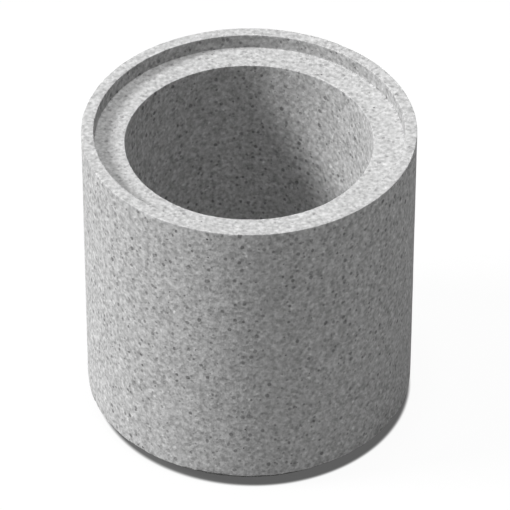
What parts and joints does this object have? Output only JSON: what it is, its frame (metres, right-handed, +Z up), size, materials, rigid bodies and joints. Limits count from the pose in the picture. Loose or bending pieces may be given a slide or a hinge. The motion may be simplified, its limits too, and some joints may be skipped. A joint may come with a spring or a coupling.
{
  "type": "concrete flue liner",
  "caption": "Round cast concrete flue liner with a plain bore, a rebated socket round its upper end and a matching spigot below, for stacking into a chimney flue.",
  "frame": {"origin": "centre of the spigot's foot, on the floor that the liner stands on", "axes": "+Z up the bore, from the spigot to the socket; +X to the right and +Y away from the viewer in the picture"},
  "size_m": [0.304, 0.304, 0.3],
  "materials": {
    "concrete": "as cast, fine open grain, matt"
  },
  "bodies": {
    "root": {"flue_liner": "concrete"}
  },
  "joints": []
}
